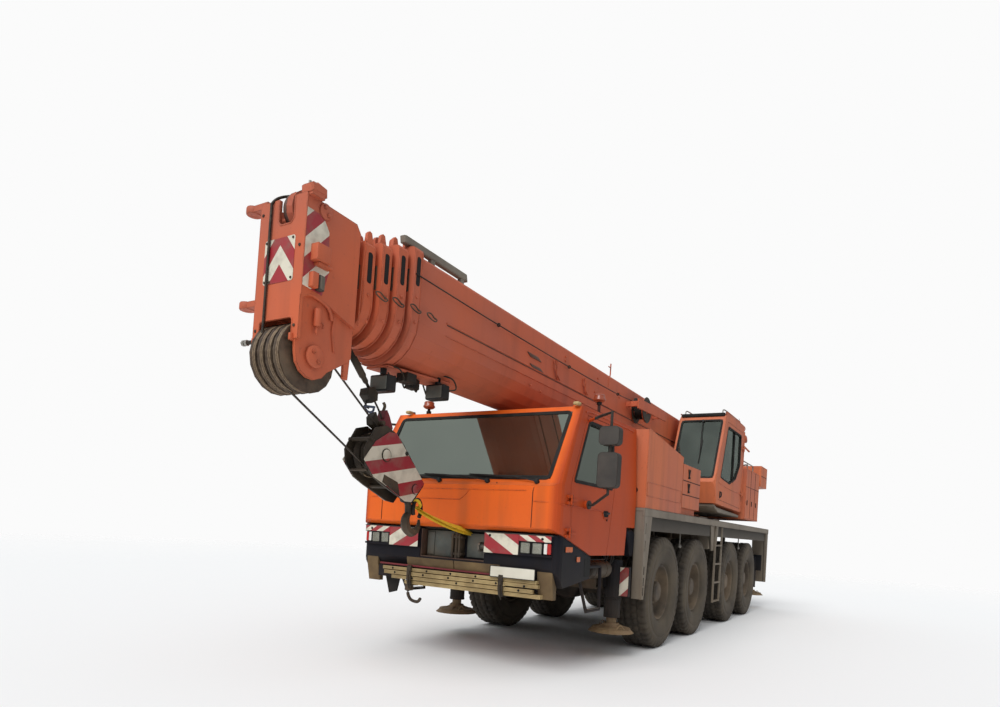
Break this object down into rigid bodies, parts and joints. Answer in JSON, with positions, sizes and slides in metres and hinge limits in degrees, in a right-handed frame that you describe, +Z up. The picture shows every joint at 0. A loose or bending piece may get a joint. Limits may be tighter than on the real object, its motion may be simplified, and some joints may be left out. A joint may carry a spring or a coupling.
{
  "type": "mobile crane",
  "caption": "Road-going mobile crane on steered axles, with a driver's cab, sliding outriggers, a slewing upper with its own cab, and a telescopic boom with a hook block.",
  "frame": {"origin": "on the ground under the middle of the whole crane's bounding box", "axes": "+X forwards to the driver's cab and boom head, +Y to the vehicle's left, +Z up"},
  "size_m": [13.3186, 3.376, 3.9861],
  "materials": {
    "tyre": "dusty black rubber",
    "wheel": "dusty dark grey-brown paint",
    "iron": "greasy dark iron",
    "frame": "dusty dark chassis paint",
    "deck": "grey-brown deck paint",
    "orange": "faded orange paint",
    "bumper": "dark blue paint",
    "black": "black paint",
    "rod": "polished cylinder rod",
    "pad": "worn primer and rust",
    "glass": "green-tinted glass"
  },
  "bodies": {
    "carrier": {"chassis_frame": "frame", "axles": "iron", "deck": "deck", "engine_block": "iron", "engine_covers": "orange", "driver_cab_shell": "orange", "driver_cab_screen": "glass", "front_bumper": "bumper"},
    "knuckle_1_left": {"knuckle_1_left": "iron"},
    "wheel_1_left": {"rim_1_left": "wheel", "tyre_1_left": "tyre"},
    "knuckle_1_right": {"knuckle_1_right": "iron"},
    "wheel_1_right": {"rim_1_right": "wheel", "tyre_1_right": "tyre"},
    "knuckle_2_left": {"knuckle_2_left": "iron"},
    "wheel_2_left": {"rim_2_left": "wheel", "tyre_2_left": "tyre"},
    "knuckle_2_right": {"knuckle_2_right": "iron"},
    "wheel_2_right": {"rim_2_right": "wheel", "tyre_2_right": "tyre"},
    "knuckle_3_left": {"knuckle_3_left": "iron"},
    "wheel_3_left": {"rim_3_left": "wheel", "tyre_3_left": "tyre"},
    "knuckle_3_right": {"knuckle_3_right": "iron"},
    "wheel_3_right": {"rim_3_right": "wheel", "tyre_3_right": "tyre"},
    "knuckle_4_left": {"knuckle_4_left": "iron"},
    "wheel_4_left": {"rim_4_left": "wheel", "tyre_4_left": "tyre"},
    "knuckle_4_right": {"knuckle_4_right": "iron"},
    "wheel_4_right": {"rim_4_right": "wheel", "tyre_4_right": "tyre"},
    "driver_door_left": {"driver_door_left": "orange"},
    "driver_door_right": {"driver_door_right": "orange"},
    "outrigger_beam_front_left": {"outrigger_beam_front_left": "deck"},
    "jack_leg_front_left": {"jack_leg_front_left": "pad"},
    "outrigger_beam_front_right": {"outrigger_beam_front_right": "deck"},
    "jack_leg_front_right": {"jack_leg_front_right": "pad"},
    "outrigger_beam_rear_left": {"outrigger_beam_rear_left": "deck"},
    "jack_leg_rear_left": {"jack_leg_rear_left": "pad"},
    "outrigger_beam_rear_right": {"outrigger_beam_rear_right": "deck"},
    "jack_leg_rear_right": {"jack_leg_rear_right": "pad"},
    "superstructure": {"turntable": "orange", "winch_drum": "iron", "counterweight": "orange", "crane_cab_shell": "orange", "crane_cab_screen": "glass", "rear_beacon": "orange"},
    "crane_cab_door": {"crane_cab_door": "orange"},
    "boom": {"boom_base": "orange"},
    "boom_section_1": {"boom_section_1": "orange"},
    "boom_section_2": {"boom_section_2": "orange"},
    "boom_section_3": {"boom_section_3": "orange"},
    "boom_head": {"boom_head_section": "orange", "head_sheaves": "iron"},
    "luff_barrel": {"luff_barrel": "black"},
    "luff_rod": {"luff_rod": "rod"},
    "hook_block": {"hook_block": "black", "rope_falls": "iron"},
    "crane_hook": {"crane_hook": "iron"}
  },
  "joints": [
    {"name": "steering_1_left", "type": "hinge", "parent": "carrier", "child": "knuckle_1_left", "pos_m": [1.0807, 0.97, 0.745], "axis": [0, 0, 1], "range_deg": [-30, 30]},
    {"name": "steering_1_right", "type": "hinge", "parent": "carrier", "child": "knuckle_1_right", "pos_m": [1.0807, -0.97, 0.745], "axis": [0, 0, 1], "range_deg": [-30, 30]},
    {"name": "steering_2_left", "type": "hinge", "parent": "carrier", "child": "knuckle_2_left", "pos_m": [-0.5693, 0.97, 0.745], "axis": [0, 0, 1], "range_deg": [-22, 22]},
    {"name": "steering_2_right", "type": "hinge", "parent": "carrier", "child": "knuckle_2_right", "pos_m": [-0.5693, -0.97, 0.745], "axis": [0, 0, 1], "range_deg": [-22, 22]},
    {"name": "steering_4_left", "type": "hinge", "parent": "carrier", "child": "knuckle_4_left", "pos_m": [-4.5693, 0.97, 0.745], "axis": [0, 0, 1], "range_deg": [-25, 25]},
    {"name": "steering_4_right", "type": "hinge", "parent": "carrier", "child": "knuckle_4_right", "pos_m": [-4.5693, -0.97, 0.745], "axis": [0, 0, 1], "range_deg": [-25, 25]},
    {"name": "steering_3_left", "type": "hinge", "parent": "carrier", "child": "knuckle_3_left", "pos_m": [-2.9193, 0.97, 0.745], "axis": [0, 0, 1], "range_deg": [-16, 16]},
    {"name": "steering_3_right", "type": "hinge", "parent": "carrier", "child": "knuckle_3_right", "pos_m": [-2.9193, -0.97, 0.745], "axis": [0, 0, 1], "range_deg": [-16, 16]},
    {"name": "wheel_spin_1_left", "type": "hinge", "parent": "knuckle_1_left", "child": "wheel_1_left", "pos_m": [1.0807, 1.16, 0.745], "axis": [0, 1, 0], "continuous": true},
    {"name": "wheel_spin_1_right", "type": "hinge", "parent": "knuckle_1_right", "child": "wheel_1_right", "pos_m": [1.0807, -1.16, 0.745], "axis": [0, 1, 0], "continuous": true},
    {"name": "wheel_spin_2_left", "type": "hinge", "parent": "knuckle_2_left", "child": "wheel_2_left", "pos_m": [-0.5693, 1.16, 0.745], "axis": [0, 1, 0], "continuous": true},
    {"name": "wheel_spin_2_right", "type": "hinge", "parent": "knuckle_2_right", "child": "wheel_2_right", "pos_m": [-0.5693, -1.16, 0.745], "axis": [0, 1, 0], "continuous": true},
    {"name": "wheel_spin_3_left", "type": "hinge", "parent": "knuckle_3_left", "child": "wheel_3_left", "pos_m": [-2.9193, 1.16, 0.745], "axis": [0, 1, 0], "continuous": true},
    {"name": "wheel_spin_3_right", "type": "hinge", "parent": "knuckle_3_right", "child": "wheel_3_right", "pos_m": [-2.9193, -1.16, 0.745], "axis": [0, 1, 0], "continuous": true},
    {"name": "wheel_spin_4_left", "type": "hinge", "parent": "knuckle_4_left", "child": "wheel_4_left", "pos_m": [-4.5693, 1.16, 0.745], "axis": [0, 1, 0], "continuous": true},
    {"name": "wheel_spin_4_right", "type": "hinge", "parent": "knuckle_4_right", "child": "wheel_4_right", "pos_m": [-4.5693, -1.16, 0.745], "axis": [0, 1, 0], "continuous": true},
    {"name": "driver_door_hinge_left", "type": "hinge", "parent": "carrier", "child": "driver_door_left", "pos_m": [3.9507, 1.292, 1.95], "axis": [0, 0, -1], "range_deg": [0, 60]},
    {"name": "driver_door_hinge_right", "type": "hinge", "parent": "carrier", "child": "driver_door_right", "pos_m": [3.9507, -1.292, 1.95], "axis": [0, 0, 1], "range_deg": [0, 60]},
    {"name": "outrigger_slide_front_left", "type": "slide", "parent": "carrier", "child": "outrigger_beam_front_left", "axis": [0, 1, 0], "range_m": [0, 1.5]},
    {"name": "jack_slide_front_left", "type": "slide", "parent": "outrigger_beam_front_left", "child": "jack_leg_front_left", "axis": [0, 0, -1], "range_m": [0, 0.5]},
    {"name": "outrigger_slide_front_right", "type": "slide", "parent": "carrier", "child": "outrigger_beam_front_right", "axis": [0, -1, 0], "range_m": [0, 1.5]},
    {"name": "jack_slide_front_right", "type": "slide", "parent": "outrigger_beam_front_right", "child": "jack_leg_front_right", "axis": [0, 0, -1], "range_m": [0, 0.5]},
    {"name": "outrigger_slide_rear_left", "type": "slide", "parent": "carrier", "child": "outrigger_beam_rear_left", "axis": [0, 1, 0], "range_m": [0, 1.5]},
    {"name": "jack_slide_rear_left", "type": "slide", "parent": "outrigger_beam_rear_left", "child": "jack_leg_rear_left", "axis": [0, 0, -1], "range_m": [0, 0.5]},
    {"name": "outrigger_slide_rear_right", "type": "slide", "parent": "carrier", "child": "outrigger_beam_rear_right", "axis": [0, -1, 0], "range_m": [0, 1.5]},
    {"name": "jack_slide_rear_right", "type": "slide", "parent": "outrigger_beam_rear_right", "child": "jack_leg_rear_right", "axis": [0, 0, -1], "range_m": [0, 0.5]},
    {"name": "slewing", "type": "hinge", "parent": "carrier", "child": "superstructure", "pos_m": [-3.2193, 0, 1.93], "axis": [0, 0, 1], "continuous": true},
    {"name": "crane_cab_door_hinge", "type": "hinge", "parent": "superstructure", "child": "crane_cab_door", "pos_m": [-3.7293, 1.322, 2.9], "axis": [0, 0, 1], "range_deg": [0, 85]},
    {"name": "luffing", "type": "hinge", "parent": "superstructure", "child": "boom", "pos_m": [-4.8173, 0, 3.261], "axis": [0, -1, 0], "range_deg": [0, 81]},
    {"name": "telescope_1", "type": "slide", "parent": "boom", "child": "boom_section_1", "axis": [0.9999, 0, 0.0105], "range_m": [0, 8.2]},
    {"name": "telescope_2", "type": "slide", "parent": "boom_section_1", "child": "boom_section_2", "axis": [0.9999, 0, 0.0105], "range_m": [0, 8.2]},
    {"name": "telescope_3", "type": "slide", "parent": "boom_section_2", "child": "boom_section_3", "axis": [0.9999, 0, 0.0105], "range_m": [0, 8.2]},
    {"name": "telescope_4", "type": "slide", "parent": "boom_section_3", "child": "boom_head", "axis": [0.9999, 0, 0.0105], "range_m": [0, 8.2]},
    {"name": "luff_cylinder_pivot", "type": "hinge", "parent": "superstructure", "child": "luff_barrel", "pos_m": [-3.5193, 0, 2.4], "axis": [0, -1, 0], "range_deg": [-1, 88]},
    {"name": "luff_cylinder_stroke", "type": "slide", "parent": "luff_barrel", "child": "luff_rod", "axis": [0.9964, 0, 0.0842], "range_m": [-0.01, 2.15]},
    {"name": "hook_swing", "type": "hinge", "parent": "boom_head", "child": "hook_block", "pos_m": [6.3893, 0, 2.6883], "axis": [0, 1, 0], "range_deg": [-60, 8]},
    {"name": "hook_swivel", "type": "hinge", "parent": "hook_block", "child": "crane_hook", "pos_m": [4.9392, 0, 1.7437], "axis": [0.4226, 0, 0.9063], "continuous": true}
  ],
  "couplings": [
    {"joint": "steering_1_right", "follows": "steering_1_left", "ratio": 1},
    {"joint": "steering_2_left", "follows": "steering_1_left", "ratio": 0.7},
    {"joint": "steering_2_right", "follows": "steering_1_left", "ratio": 0.7},
    {"joint": "steering_4_right", "follows": "steering_4_left", "ratio": 1},
    {"joint": "steering_3_left", "follows": "steering_4_left", "ratio": 0.6},
    {"joint": "steering_3_right", "follows": "steering_4_left", "ratio": 0.6},
    {"joint": "telescope_2", "follows": "telescope_1", "ratio": 1},
    {"joint": "telescope_3", "follows": "telescope_1", "ratio": 1},
    {"joint": "telescope_4", "follows": "telescope_1", "ratio": 1},
    {"joint": "luff_cylinder_pivot", "follows": "luffing", "ratio": 1.0483},
    {"joint": "luff_cylinder_stroke", "follows": "luffing", "m_per_rad": 1.4137}
  ]
}
